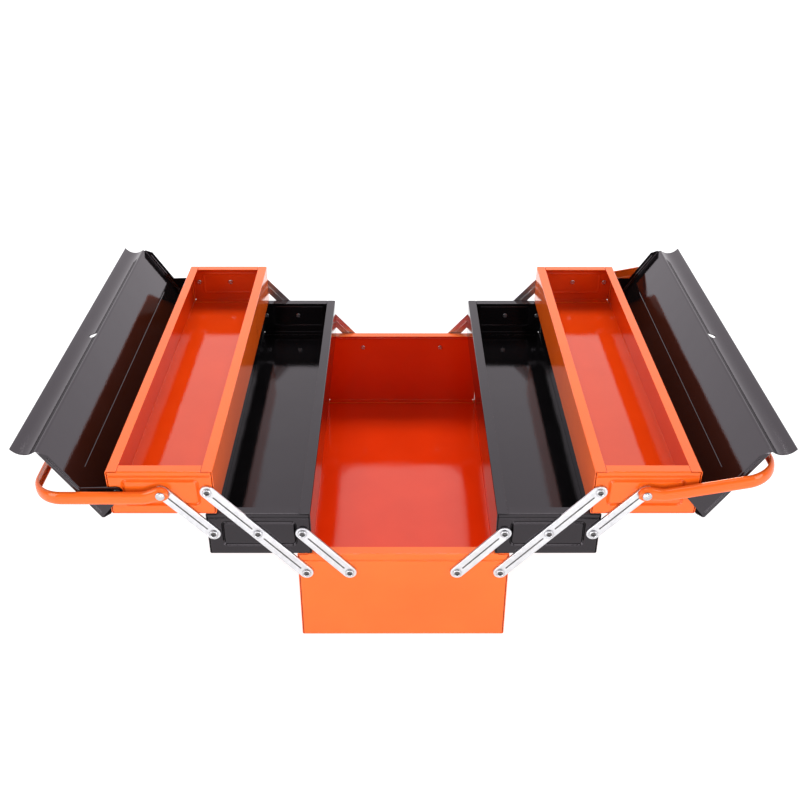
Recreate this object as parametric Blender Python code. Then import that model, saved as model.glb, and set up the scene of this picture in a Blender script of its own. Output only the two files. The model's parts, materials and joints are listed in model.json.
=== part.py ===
"""Cantilever toolbox: a sheet-steel base with two folding trays, a lid and a bail handle on each side.

The box stands open on z = 0, with its length along Y and its front end panel facing -Y. The trays of
the right side (+X) fold outward on flat links, and the left side is the same thing turned half a turn
about Z. Every moving piece hangs on an empty that lies on its joint's axis.
"""

import math

import bmesh
import bpy
from mathutils import Matrix, Vector

# Driving dimensions, in metres.
LENGTH = 0.440
BASE_WIDTH = 0.200
BASE_HEIGHT = 0.1045
TRAY_WIDTH = 0.096
TRAY_HEIGHT = 0.0473
SHEET = 0.0008
RIM_WIDTH = 0.010
GAP = 0.0003
FLOOR_GAP = 0.0007
CENTRE_GAP = 0.0005

# Pivots: a long link P1-M1-U1, an inner link P2-M2 and an outer link M0-U0 at each corner.
OUTER_BASE_PIVOT_X = 0.092
PIVOT_PITCH = 0.041
PIVOT_DROP = 0.0214
SWING = 0.0426
RISE = TRAY_HEIGHT + GAP
LINK_LEAN = math.atan2(SWING, RISE)
LINK_PITCH = math.hypot(SWING, RISE)

# Links and rivets.
LINK_WIDTH = 0.013
LINK_THICKNESS = 0.002
LINK_STANDOFF = 0.0004
HOLE_RADIUS = 0.0024
SHANK_RADIUS = 0.0020
HEAD_RADIUS = 0.0043
HEAD_HEIGHT = 0.0015
TAIL_RADIUS = 0.0029
TAIL_HEIGHT = 0.0010
ROUND_SIDES = 12

# Lid, measured from its pivot with the lid shut: outward along X, up along Z.
LID_PIVOT_OFFSET = 0.040
LID_OPENING = math.radians(123)
LID_STANDOFF = 0.0004
LID_CORNER_X = 0.0165
LID_TOP_Z = 0.0315
LID_SKIRT = 0.0096
LID_LENGTH_X = 0.0885
LID_FLANGE = 0.0070
LID_GUSSET_X = -0.0212
LID_BOSS_RADIUS = 0.0055
LIP_RISER = 0.0030
LIP_RADIUS = 0.0145
LIP_STEPS = 6
PADLOCK_HOLE_RADIUS = 0.0043
PADLOCK_HOLE_RISE = 0.0065

# Handle: a channel bent into a U, flat outward at angle 0.
HANDLE_REACH = 0.120
HANDLE_WIDTH = 0.0134
HANDLE_DEPTH = 0.0040
HANDLE_SHEET = 0.0012
HANDLE_STANDOFF = 0.0036
HANDLE_DROP = 0.0045
HANDLE_BEND_RADIUS = 0.030
HANDLE_BEND_STEPS = 7
HANDLE_EYE_RADIUS = 0.0075
HANDLE_EYE_STEPS = 4
HANDLE_EYE_CUT = math.radians(68)
HANDLE_RAISED = {"left": 0.0, "right": math.radians(11.5)}

HALF_LENGTH = LENGTH / 2
TURNS = {"left": math.pi, "right": 0.0}
ENDS = {"front": -1, "rear": 1}
UP = Vector((0, 0, 1))


# ---- Places, on the right side

def pivot_place(name):
    """X and Z of a pivot of the right side with the trays folded out."""
    level = {"P": 0, "M": 1, "U": 2}[name[0]]
    column = {"0": 1, "1": 0, "2": -1}[name[1]]
    x = OUTER_BASE_PIVOT_X + level * SWING + column * PIVOT_PITCH
    z = BASE_HEIGHT - PIVOT_DROP + level * RISE
    return x, z


def tray_place(level):
    """X of the tray's middle and Z of its underside, for level 1 (middle) or 2 (upper)."""
    x = CENTRE_GAP + 2 * level * SWING + TRAY_WIDTH / 2
    z = BASE_HEIGHT + GAP + (level - 1) * RISE
    return x, z


def lid_pivot_place():
    x, z = pivot_place("U0")
    return x + LID_PIVOT_OFFSET, z


# ---- Materials

def paint_material(name, colour):
    material = bpy.data.materials.new(name)
    material.use_nodes = True
    shader = material.node_tree.nodes["Principled BSDF"]
    shader.inputs["Base Color"].default_value = (*colour, 1)
    shader.inputs["Roughness"].default_value = 0.22
    shader.inputs["Metallic"].default_value = 0.0
    return material


def zinc_material(name, roughness):
    material = bpy.data.materials.new(name)
    material.use_nodes = True
    shader = material.node_tree.nodes["Principled BSDF"]
    shader.inputs["Base Color"].default_value = (0.80, 0.81, 0.83, 1)
    shader.inputs["Roughness"].default_value = roughness
    shader.inputs["Metallic"].default_value = 1.0
    return material


# ---- Building blocks

def clear_scene():
    for item in list(bpy.data.objects):
        bpy.data.objects.remove(item)


def add_empty(name, location, turn):
    empty = bpy.data.objects.new(name, None)
    empty.location = location
    empty.rotation_euler.z = turn
    bpy.context.collection.objects.link(empty)
    return empty


def add_object(name, mesh, material, parent):
    item = bpy.data.objects.new(name, mesh)
    if not mesh.materials:
        mesh.materials.append(material)
    bpy.context.collection.objects.link(item)
    item.parent = parent
    return item


def sheet_mesh(name, outlines, outward):
    """Surface of flat faces that share their edges; the first face looks along outward."""
    shell = bmesh.new()
    for outline in outlines:
        shell.faces.new([shell.verts.new(point) for point in outline])
    bmesh.ops.remove_doubles(shell, verts=shell.verts, dist=0.00001)
    bmesh.ops.recalc_face_normals(shell, faces=shell.faces)
    shell.faces.ensure_lookup_table()
    if shell.faces[0].normal.dot(outward) < 0:
        bmesh.ops.reverse_faces(shell, faces=shell.faces)
    mesh = bpy.data.meshes.new(name)
    shell.to_mesh(mesh)
    shell.free()
    return mesh


def thicken(item, thickness):
    """Sheet metal: thickness behind the surface."""
    solidify = item.modifiers.new("thickness", "SOLIDIFY")
    solidify.thickness = thickness
    solidify.offset = -1
    solidify.use_even_offset = True
    solidify.use_quality_normals = True


def plate_mesh(name, outline, thickness):
    """Flat plate in the XZ plane, centred on y = 0."""
    plate = bmesh.new()
    corners = [plate.verts.new((x, -thickness / 2, z)) for x, z in outline]
    face = plate.faces.new(corners)
    extruded = bmesh.ops.extrude_face_region(plate, geom=[face])
    moved = [part for part in extruded["geom"] if isinstance(part, bmesh.types.BMVert)]
    bmesh.ops.translate(plate, verts=moved, vec=(0, thickness, 0))
    bmesh.ops.recalc_face_normals(plate, faces=plate.faces)
    mesh = bpy.data.meshes.new(name)
    plate.to_mesh(mesh)
    plate.free()
    return mesh


def drill(item, places, radius, depth, axis="Y"):
    """Cut round holes along an axis through an object, at points of the object's own frame."""
    turn = Matrix.Rotation(math.radians(90), 4, "X" if axis == "Y" else "Y")
    drills = bmesh.new()
    for place in places:
        bmesh.ops.create_cone(
            drills,
            cap_ends=True,
            segments=ROUND_SIDES,
            radius1=radius,
            radius2=radius,
            depth=depth,
            matrix=Matrix.Translation(place) @ turn,
        )
    mesh = bpy.data.meshes.new(item.name + "_drill")
    drills.to_mesh(mesh)
    drills.free()
    cutter = bpy.data.objects.new(item.name + "_drill", mesh)
    cutter.parent = item
    cutter.hide_render = True
    cutter.display_type = "WIRE"
    bpy.context.collection.objects.link(cutter)
    cut = item.modifiers.new("holes", "BOOLEAN")
    cut.operation = "DIFFERENCE"
    cut.solver = "EXACT"
    cut.object = cutter


def turned_mesh(name, profile):
    """Solid turned about Z from a profile of (radius, z) that runs from the bottom to the top."""
    turned = bmesh.new()
    rings = []
    for radius, z in profile:
        ring = []
        for step in range(ROUND_SIDES):
            angle = 2 * math.pi * step / ROUND_SIDES
            ring.append(turned.verts.new((radius * math.cos(angle), radius * math.sin(angle), z)))
        rings.append(ring)
    for lower, upper in zip(rings, rings[1:]):
        for step in range(ROUND_SIDES):
            following = (step + 1) % ROUND_SIDES
            turned.faces.new((lower[step], lower[following], upper[following], upper[step]))
    turned.faces.new(list(reversed(rings[0])))
    turned.faces.new(rings[-1])
    mesh = bpy.data.meshes.new(name)
    turned.to_mesh(mesh)
    turned.free()
    mesh.shade_smooth()
    mesh.set_sharp_from_angle(angle=math.radians(35))
    return mesh


def arc_points(centre, radius, start, end, steps):
    """Points on an arc in a plane, both ends included."""
    points = []
    for step in range(steps + 1):
        angle = start + (end - start) * step / steps
        points.append((centre[0] + radius * math.cos(angle), centre[1] + radius * math.sin(angle)))
    return points


# ---- Base and trays

def add_shell(name, width, height, material, parent, location):
    """Floor, long side walls and inward rims, folded from one sheet; origin mid-floor on the underside."""
    half = width / 2
    floor_end = HALF_LENGTH - SHEET - FLOOR_GAP
    outlines = [[(-half, -floor_end, 0), (half, -floor_end, 0), (half, floor_end, 0), (-half, floor_end, 0)]]
    for side in (-1, 1):
        wall = [(-HALF_LENGTH, 0), (-floor_end, 0), (floor_end, 0), (HALF_LENGTH, 0)]
        wall += [(HALF_LENGTH, height), (-HALF_LENGTH, height)]
        outlines.append([(side * half, y, z) for y, z in wall])
        rim_edge = half - RIM_WIDTH
        rim = [(half, -HALF_LENGTH), (half, HALF_LENGTH), (rim_edge, HALF_LENGTH), (rim_edge, -HALF_LENGTH)]
        outlines.append([(side * x, y, height) for x, y in rim])
    item = add_object(name, sheet_mesh(name, outlines, -UP), material, parent)
    item.location = location
    thicken(item, SHEET)
    return item


def add_end_panel(name, width, height, end, holes, material, parent, location):
    """End wall between the side walls, with its rim between the side rims and rivet holes at (x, z)."""
    half = width / 2 - SHEET - GAP
    rim_half = width / 2 - RIM_WIDTH - GAP
    shoulder = height - SHEET - GAP
    face_y = end * HALF_LENGTH
    wall = [(-half, 0), (half, 0), (half, shoulder), (rim_half, shoulder)]
    wall += [(rim_half, height), (-rim_half, height), (-rim_half, shoulder), (-half, shoulder)]
    rim_y = end * (HALF_LENGTH - RIM_WIDTH)
    rim = [(-rim_half, face_y), (rim_half, face_y), (rim_half, rim_y), (-rim_half, rim_y)]
    outlines = [[(x, face_y, z) for x, z in wall], [(x, y, height) for x, y in rim]]
    item = add_object(name, sheet_mesh(name, outlines, Vector((0, end, 0))), material, parent)
    item.location = location
    thicken(item, SHEET)
    drill(item, [(x, face_y, z) for x, z in holes], HOLE_RADIUS, 6 * SHEET)
    return item


def world_end(side, end_name):
    """Sign of Y in a side's own frame for the front or rear end of the box."""
    return ENDS[end_name] * (1 if side == "right" else -1)


def add_base(material):
    add_shell("base_shell", BASE_WIDTH, BASE_HEIGHT, material, None, (0, 0, 0))
    holes = []
    for name in ("P1", "P2"):
        x, z = pivot_place(name)
        holes += [(x, z), (-x, z)]
    for end_name, end in ENDS.items():
        add_end_panel(f"base_{end_name}_panel", BASE_WIDTH, BASE_HEIGHT, end, holes, material, None, (0, 0, 0))


def add_tray(side, label, level, pivots, material, parent, origin):
    """One tray, placed in the frame of the empty that stands at origin on the side's own axes."""
    x, z = tray_place(level)
    location = (x - origin[0], 0, z - origin[1])
    prefix = f"{side}_{label}_tray"
    add_shell(f"{prefix}_shell", TRAY_WIDTH, TRAY_HEIGHT, material, parent, location)
    holes = [(pivot_x - x, pivot_z - z) for pivot_x, pivot_z in pivots]
    for end_name in ENDS:
        end = world_end(side, end_name)
        panel_name = f"{prefix}_{end_name}_panel"
        add_end_panel(panel_name, TRAY_WIDTH, TRAY_HEIGHT, end, holes, material, parent, location)


# ---- Links and rivets

def link_mesh(name, length):
    """Flat bar with round ends from the lower pivot at the origin up to z = length."""
    radius = LINK_WIDTH / 2
    half_sides = ROUND_SIDES // 2 + 2
    outline = arc_points((0, length), radius, 0, math.pi, half_sides)
    outline += arc_points((0, 0), radius, math.pi, 2 * math.pi, half_sides)
    return plate_mesh(name, outline, LINK_THICKNESS)


def add_link(name, mesh, pivot_heights, end, material, parent):
    item = add_object(name, mesh, material, parent)
    item.location.y = end * (HALF_LENGTH + LINK_STANDOFF + LINK_THICKNESS / 2)
    item.rotation_euler.y = LINK_LEAN
    drill(item, [(0, 0, z) for z in pivot_heights], HOLE_RADIUS, 4 * LINK_THICKNESS)
    return item


def rivet_mesh(name, head_seat):
    """Rivet along Z from its tail behind the panel to a domed head that starts at head_seat."""
    tail_seat = -SHEET - GAP
    profile = [
        (TAIL_RADIUS, tail_seat - TAIL_HEIGHT),
        (TAIL_RADIUS, tail_seat),
        (SHANK_RADIUS, tail_seat),
        (SHANK_RADIUS, head_seat),
        (HEAD_RADIUS, head_seat),
        (HEAD_RADIUS * 0.8, head_seat + HEAD_HEIGHT),
    ]
    return turned_mesh(name, profile)


def add_rivet(name, mesh, x, z, end, material, parent):
    item = add_object(name, mesh, material, parent)
    item.location = (x, end * HALF_LENGTH, z)
    item.rotation_euler.x = -end * math.pi / 2
    return item


# ---- Lid

def lid_outlines():
    """Skirt, cover, lip and end cheeks of the shut lid around its pivot."""
    half = HALF_LENGTH + LID_STANDOFF + SHEET
    fold_x = LID_CORNER_X - LID_LENGTH_X
    section = [(LID_CORNER_X, LID_TOP_Z - LID_SKIRT), (LID_CORNER_X, LID_TOP_Z), (fold_x, LID_TOP_Z)]
    lip_centre = (fold_x - LIP_RADIUS, LID_TOP_Z + LIP_RISER)
    section += arc_points(lip_centre, LIP_RADIUS, 0, math.pi / 2, LIP_STEPS)
    outlines = []
    for (x0, z0), (x1, z1) in zip(section, section[1:]):
        outlines.append([(x0, -half, z0), (x0, half, z0), (x1, half, z1), (x1, -half, z1)])
    corner = (LID_CORNER_X, LID_TOP_Z)
    gusset = (LID_GUSSET_X, LID_TOP_Z - LID_FLANGE)
    outer_touch = tangent_angle(corner, LID_BOSS_RADIUS, -1)
    inner_touch = tangent_angle(gusset, LID_BOSS_RADIUS, 1)
    cheek = [corner]
    cheek += arc_points((0, 0), LID_BOSS_RADIUS, outer_touch, inner_touch - 2 * math.pi, ROUND_SIDES // 2)
    cheek += [gusset, (fold_x + LID_FLANGE, LID_TOP_Z - LID_FLANGE), (fold_x, LID_TOP_Z)]
    for end in (-1, 1):
        outlines.append([(x, end * half, z) for x, z in cheek])
    return outlines


def tangent_angle(point, radius, turn):
    """Angle at which a line from a point touches a circle about the origin, on one side of it."""
    distance = math.hypot(point[0], point[1])
    return math.atan2(point[1], point[0]) + turn * math.acos(radius / distance)


def add_lid(side, material, parent):
    name = f"{side}_lid"
    item = add_object(name, sheet_mesh(name, lid_outlines(), Vector((1, 0, 0))), material, parent)
    item.rotation_euler.y = LID_OPENING
    thicken(item, SHEET)
    half = HALF_LENGTH + LID_STANDOFF
    drill(item, [(0, -half, 0), (0, half, 0)], HOLE_RADIUS, 6 * SHEET)
    lip_x = LID_CORNER_X - LID_LENGTH_X
    hasp = [(lip_x, 0, LID_TOP_Z + PADLOCK_HOLE_RISE)]
    drill(item, hasp, PADLOCK_HOLE_RADIUS, 6 * SHEET, axis="X")
    return item


# ---- Handle

def channel_section(half_width, depth):
    """Channel section (inward, up) that is open on its inner side, as a closed outline."""
    round_off = HANDLE_SHEET
    inner = half_width - HANDLE_SHEET
    return [
        (depth, half_width),
        (round_off, half_width),
        (0, half_width - round_off),
        (0, round_off - half_width),
        (round_off, -half_width),
        (depth, -half_width),
        (depth, -inner),
        (HANDLE_SHEET, -inner),
        (HANDLE_SHEET, inner),
        (depth, inner),
    ]


def handle_stations():
    """Places along the U: point on its outer face, inward direction and half width of the section.

    The eye is round about the pivot, and the arm beyond it lies a little lower.
    """
    half_width = HANDLE_WIDTH / 2
    face_y = HALF_LENGTH + HANDLE_STANDOFF + HANDLE_DEPTH
    radius = HANDLE_BEND_RADIUS
    stations = []
    for step in range(HANDLE_EYE_STEPS + 1):
        angle = HANDLE_EYE_CUT * (1 - step / HANDLE_EYE_STEPS)
        along = -HANDLE_EYE_RADIUS * math.sin(angle)
        eye_half = HANDLE_EYE_RADIUS * math.cos(angle)
        stations.append((Vector((along, -face_y, 0)), Vector((0, 1, 0)), eye_half))
    arm_start = Vector((2.4 * HANDLE_EYE_RADIUS, -face_y, -HANDLE_DROP))
    stations.append((arm_start, Vector((0, 1, 0)), half_width))
    centre = Vector((HANDLE_REACH - radius, radius - face_y, -HANDLE_DROP))
    for step in range(HANDLE_BEND_STEPS + 1):
        angle = math.pi / 2 * (1 - step / HANDLE_BEND_STEPS)
        outward = Vector((math.cos(angle), -math.sin(angle), 0))
        stations.append((centre + radius * outward, -outward, half_width))
    far_half = []
    for point, inward, width in reversed(stations):
        far_point = Vector((point.x, -point.y, point.z))
        far_half.append((far_point, Vector((inward.x, -inward.y, 0)), width))
    return stations + far_half


def handle_mesh(name):
    """Channel swept along the U; the outline of every station is joined to the next."""
    channel = bmesh.new()
    rings = []
    for point, inward, half_width in handle_stations():
        section = channel_section(half_width, HANDLE_DEPTH)
        rings.append([channel.verts.new(point + inward * depth + UP * height) for depth, height in section])
    for ring, next_ring in zip(rings, rings[1:]):
        for index in range(len(ring)):
            following = (index + 1) % len(ring)
            channel.faces.new((ring[index], ring[following], next_ring[following], next_ring[index]))
    channel.faces.new(rings[0])
    channel.faces.new(rings[-1])
    bmesh.ops.recalc_face_normals(channel, faces=channel.faces)
    mesh = bpy.data.meshes.new(name)
    channel.to_mesh(mesh)
    channel.free()
    mesh.shade_smooth()
    mesh.set_sharp_from_angle(angle=math.radians(50))
    return mesh


def add_handle(side, mesh, material, parent):
    item = add_object(f"{side}_handle", mesh, material, parent)
    item.rotation_euler.y = -HANDLE_RAISED[side]
    eye_y = HALF_LENGTH + HANDLE_STANDOFF + HANDLE_DEPTH
    drill(item, [(0, -eye_y, 0), (0, eye_y, 0)], HOLE_RADIUS, 4 * HANDLE_SHEET)
    return item


# ---- Assembly

def add_side(side, meshes, materials):
    """Links, trays, handle and lid of one side, each body on an empty at its own joint."""
    turn = TURNS[side]
    turned = Matrix.Rotation(turn, 4, "Z")

    def body(label, place):
        return add_empty(f"{side}_{label}_axis", turned @ Vector((place[0], 0, place[1])), turn)

    long_links = body("long_links", pivot_place("P1"))
    inner_links = body("inner_links", pivot_place("P2"))
    outer_links = body("outer_links", pivot_place("M0"))
    mid_tray = body("mid_tray", pivot_place("M1"))
    upper_tray = body("upper_tray", pivot_place("U1"))
    handle = body("handle", pivot_place("U0"))
    lid = body("lid", lid_pivot_place())
    root = body("base", (0, 0))

    mid_pivots = [pivot_place(name) for name in ("M0", "M1", "M2")]
    upper_pivots = [pivot_place("U0"), pivot_place("U1"), lid_pivot_place()]
    add_tray(side, "mid", 1, mid_pivots, materials["black"], mid_tray, pivot_place("M1"))
    add_tray(side, "upper", 2, upper_pivots, materials["orange"], upper_tray, pivot_place("U1"))
    add_handle(side, meshes["handle"], materials["orange"], handle)
    add_lid(side, materials["black"], lid)

    long_heights = (0, LINK_PITCH, 2 * LINK_PITCH)
    rivets = {"P1": root, "P2": root, "M0": mid_tray, "M1": mid_tray, "M2": mid_tray}
    rivets |= {"U0": upper_tray, "U1": upper_tray}
    for end_name in ENDS:
        end = world_end(side, end_name)
        prefix = f"{side}_{end_name}"
        zinc = materials["zinc"]
        add_link(f"{prefix}_long_link", meshes["long_link"], long_heights, end, zinc, long_links)
        add_link(f"{prefix}_inner_link", meshes["short_link"], long_heights[:2], end, zinc, inner_links)
        add_link(f"{prefix}_outer_link", meshes["short_link"], long_heights[:2], end, zinc, outer_links)
        for pivot, parent in rivets.items():
            x, z = pivot_place(pivot)
            local = parent.matrix_basis.inverted() @ (turned @ Vector((x, 0, z)))
            mesh = meshes["handle_rivet" if pivot == "U0" else "rivet"]
            rivet_name = f"{prefix}_rivet_{pivot.lower()}"
            add_rivet(rivet_name, mesh, local.x, local.z, end, materials["rivet"], parent)


def main():
    clear_scene()
    materials = {
        "orange": paint_material("orange_paint", (0.80, 0.095, 0.012)),
        "black": paint_material("black_paint", (0.012, 0.011, 0.012)),
        "zinc": zinc_material("zinc_steel", 0.30),
        "rivet": zinc_material("rivet_steel", 0.25),
    }
    link_seat = LINK_STANDOFF + LINK_THICKNESS + GAP
    handle_seat = HANDLE_STANDOFF + HANDLE_DEPTH + GAP
    meshes = {
        "long_link": link_mesh("long_link", 2 * LINK_PITCH),
        "short_link": link_mesh("short_link", LINK_PITCH),
        "rivet": rivet_mesh("rivet", link_seat),
        "handle_rivet": rivet_mesh("handle_rivet", handle_seat),
        "handle": handle_mesh("handle"),
    }
    add_base(materials["orange"])
    for side in TURNS:
        add_side(side, meshes, materials)


main()
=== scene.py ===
"""Looks of the cantilever toolbox: formed sheet metal, stamped links, eyelet rivets, enamel and zinc.

Every piece is built in the row frame, in metres. Places come from the CAD nodes' boxes and the record's
joints; the sizes below are the folds, pressings and rounded edges that the plain CAD solids leave out.
"""

import json
import math

import bmesh
import bpy
from mathutils import Matrix, Vector


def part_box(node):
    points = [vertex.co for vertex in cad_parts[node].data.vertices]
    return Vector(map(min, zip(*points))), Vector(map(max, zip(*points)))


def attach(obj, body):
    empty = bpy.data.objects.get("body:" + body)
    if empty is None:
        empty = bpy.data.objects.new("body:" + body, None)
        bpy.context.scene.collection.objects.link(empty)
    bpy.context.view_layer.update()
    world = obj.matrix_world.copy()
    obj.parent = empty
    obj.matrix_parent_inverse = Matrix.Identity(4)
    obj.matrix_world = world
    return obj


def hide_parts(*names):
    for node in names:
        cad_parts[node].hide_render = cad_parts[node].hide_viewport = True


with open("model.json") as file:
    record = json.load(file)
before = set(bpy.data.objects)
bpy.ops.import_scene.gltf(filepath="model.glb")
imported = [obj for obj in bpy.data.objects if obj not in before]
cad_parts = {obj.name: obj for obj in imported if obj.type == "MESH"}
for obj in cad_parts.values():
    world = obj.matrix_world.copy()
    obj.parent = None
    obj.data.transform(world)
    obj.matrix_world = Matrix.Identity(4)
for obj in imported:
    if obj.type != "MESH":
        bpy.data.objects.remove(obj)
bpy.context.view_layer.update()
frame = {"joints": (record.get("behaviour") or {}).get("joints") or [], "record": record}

# Sheet metal.
SHEET = 0.0008
FOLD_RADIUS = 0.0016
FOLD_STEPS = 5
RIM_WIDTH = 0.010
SEAM = 0.0003
PANEL_FOLD_RADIUS = 0.0011
PANEL_SIDE_GAP = {"front": 0.0004, "rear": 0.0}
SHELL_SET_BACK = 0.0008
FLANGE = 0.0095
EDGE_SOFTENING = 0.00012

# Pressings in the end panels, which are deeper at the front.
PRESS_SIDE_MARGIN = 0.0114
PRESS_TOP_MARGIN = 0.0080
PRESS_BOTTOM_MARGIN = 0.0090
PRESS_CORNER = 0.0056
PRESS_WIDTH = 0.0040
PRESS_DEPTH = {"front": 0.0018, "rear": 0.0005}
PRESS_STEPS = 8
BASE_GROOVE_DROP = 0.0085
TRAY_GROOVE_DROP = 0.0052
PANEL_GROOVE_HALF = 0.0014
PANEL_GROOVE_DEPTH = {"front": 0.0011, "rear": 0.0004}
PANEL_GROOVE_STEPS = 4

# Links and rivets.
LINK_WIDTH = 0.013
LINK_THICKNESS = 0.002
LINK_STANDOFF = 0.0004
LINK_ROUNDING = 0.0005
GROOVE_END = 0.0080
GROOVE_HALF = 0.0008
GROOVE_DEPTH = 0.0006
RIB_HALF = 0.0010
RIB_RISE = 0.0003
LINE_SHARES = (0.0, 0.3, 0.6, 0.85)
HOLE_RADIUS = 0.0024
SHANK_RADIUS = 0.0020
HEAD_RADIUS = 0.0043
LID_HEAD_RADIUS = 0.0034
HEAD_HEIGHT = 0.0015
HEAD_EDGE = 0.0004
HEAD_MARGIN = 0.0001
DOME_EDGE = 0.0003
DOME_STEPS = 6
EYELET_CROWN = 0.0033
EYELET_CROWN_SEAT = 0.0005
EYELET_STEPS = 8
HOLLOW_DEPTH = 0.0006
TAIL_RADIUS = 0.0029
TAIL_HEIGHT = 0.0010
TAIL_DIMPLE_RADIUS = 0.0011
TAIL_DIMPLE_DEPTH = 0.0002
TAIL_DIMPLE_MOUTH = 0.0014
HOLE_SIDES = 24
RIVET_SIDES = 32
DRILL_LENGTH = 0.012

# Lid, measured from its pivot with the lid shut: outward along X, up along Z.
LID_OPENING = math.radians(123)
LID_STANDOFF = 0.0004
LID_CORNER_X = 0.0165
LID_TOP_Z = 0.0315
LID_SKIRT = 0.0096
LID_LENGTH_X = 0.0885
LID_FLANGE = 0.0070
LID_GUSSET_X = -0.0212
LID_INSIDE_X = -0.02
LID_BOSS_RADIUS = 0.0055
LID_BEAD_X = -0.0230
LID_BEAD_HALF = 0.0012
LID_BEAD_DEPTH = 0.0003
LID_BEAD_LENGTH = 0.372
CHEEK_BEAD_DROP = 0.0040
CHEEK_BEAD_END = 0.0040
CHEEK_BEAD_HALF = 0.0013
CHEEK_BEAD_DEPTH = 0.0007
BEAD_SHARES = (0.0, 0.2, 0.4, 0.6, 0.8)
BOSS_STEPS = 16
LIP_RISER = 0.0030
LIP_RADIUS = 0.0145
LIP_STEPS = 14
PADLOCK_HOLE_RADIUS = 0.0043
PADLOCK_HOLE_RISE = 0.0065

# Handle: a channel bent into a U.
HANDLE_REACH = 0.120
HANDLE_WIDTH = 0.0134
HANDLE_DEPTH = 0.0040
HANDLE_SHEET = 0.0012
HANDLE_CROWN = 0.0034
HANDLE_CURVE = 0.0064
HANDLE_CURVE_SHARE = 0.85
HANDLE_CURVE_STEPS = 8
HANDLE_INNER_ROUND = 0.0016
HANDLE_INNER_STEPS = 2
HANDLE_LEAST_FLAT = 0.0003
HANDLE_STANDOFF = 0.0036
HANDLE_DROP = 0.0045
HANDLE_BEND_RADIUS = 0.030
HANDLE_BEND_STEPS = 20
HANDLE_EYE_RADIUS = 0.0075
HANDLE_EYE_STEPS = 9
HANDLE_EYE_CUT = math.radians(78)
HANDLE_NECK = 0.018
HANDLE_NECK_STEPS = 8
HANDLE_RAISED = {"left": 0.0, "right": math.radians(11.5)}

# Camera.
CAMERA_PLACE = (-0.00635, -0.93554, 0.72281)
CAMERA_PITCH = math.radians(32.02)
CAMERA_YAW = math.radians(0.22)
CAMERA_ROLL = math.radians(0.13)
CAMERA_LENS = 44.68

# Surround: radiance behind and in front, where one fades into the other, and the ceiling's share of it.
REAR_LIGHT = 1.36
FRONT_LIGHT = 0.36
WALL_FADE = (-0.45, 0.25)
CEILING_SHARE = 0.30
CEILING_FADE = (0.66, 0.95)
SURROUND_COLOUR = (1.0, 0.955, 0.995)

# Softboxes: name, place, size, watts and what they face.
SOFTBOXES = (
    ("side_softbox", (-1.20, -1.15, 0.66), (0.60, 1.10), 8, (-0.3, -0.24, 0.12)),
    ("side_softbox", (1.20, -1.15, 0.66), (0.60, 1.10), 8, (0.3, -0.24, 0.12)),
    ("rear_softbox", (0, 1.05, 1.75), (1.3, 0.6), 26, (0, 0, 0.1)),
    ("inner_softbox", (0, -1.30, 1.60), (1.00, 0.50), 4.5, (0, 0.22, 0.06)),
    ("table_light", (0, -0.72, 0.08), (0.6, 0.12), 1.2, (0, -0.22, 0.06)),
)

# Table.
FLOOR_SIZE = 9
FLOOR_DROP = 0.0003
FLOOR_SHADE = 0.30
FLOOR_GLOW = 0.90

# Enamels: light film, deep film, dust, tint of the gloss and refractive index.
ORANGE_GLOSS = (1.0, 0.95, 0.84)
BLACK_GLOSS = (1.0, 0.90, 0.99)
ORANGE_OUTSIDE = ((0.86, 0.128, 0.010), (0.80, 0.112, 0.008), (0.95, 0.36, 0.14), ORANGE_GLOSS, 1.50)
# The two inside rows are the same orange enamel made deeper and redder: painted shade for the inner faces
# of the base and trays.
ORANGE_INSIDE_SHADE = ((0.80, 0.043, 0.003), (0.75, 0.036, 0.002), (0.92, 0.28, 0.10), ORANGE_GLOSS, 1.55)
ORANGE_TRAY_INSIDE_SHADE = ((0.71, 0.057, 0.004), (0.66, 0.048, 0.003), (0.92, 0.28, 0.10), ORANGE_GLOSS, 1.55)
BLACK_TRAY = ((0.0050, 0.0045, 0.0050), (0.0030, 0.0026, 0.0030), (0.10, 0.09, 0.10), BLACK_GLOSS, 1.47)
BLACK_LID = (*BLACK_TRAY[:-1], 1.58)

# Enamel over cut edges: colour and worn colour.
ORANGE_EDGE = ((0.88, 0.14, 0.02), (0.55, 0.20, 0.10))
BLACK_EDGE = ((0.022, 0.020, 0.023), (0.10, 0.09, 0.10))

# Zinc plate: light patches, dark patches, roughness and the stretch of the grain along X, Y and Z.
LINK_ZINC = ((0.74, 0.74, 0.76), (0.58, 0.58, 0.60), 0.28, (1, 1, 0.06))
RIVET_ZINC = ((0.62, 0.62, 0.64), (0.44, 0.44, 0.46), 0.18, (1, 1, 1))
# Dark zinc that paints the shade in the links' pressed grooves and in the rivets' hollows.
RECESS_SHADE_ZINC = ((0.16, 0.15, 0.15), (0.07, 0.07, 0.07), 0.40, (1, 1, 1))

# Places in a piece's list of materials.
CUT_EDGE = 1
# Slot of the dark zinc that paints shade in grooves and hollows.
RECESS_SHADE = 1
# Slot of the inner faces, which for orange pieces holds the copy of the enamel that paints their shade.
INSIDE = 2

SIDES = {"left": -1, "right": 1}
ENDS = {"front": -1, "rear": 1}
node_body = {}
for body_name, members in frame["record"]["behaviour"]["bodies"].items():
    for member in members:
        node_body[member] = body_name
joint_place = {joint["name"]: Vector(joint["pos_m"]) for joint in frame["joints"]}
base_low, base_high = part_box("base_shell")
HALF_LENGTH = base_high.y


# ---- Materials

def new_material(name):
    material = bpy.data.materials.new(name)
    material.use_nodes = True
    tree = material.node_tree
    return material, tree, tree.nodes["Principled BSDF"]


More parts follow.
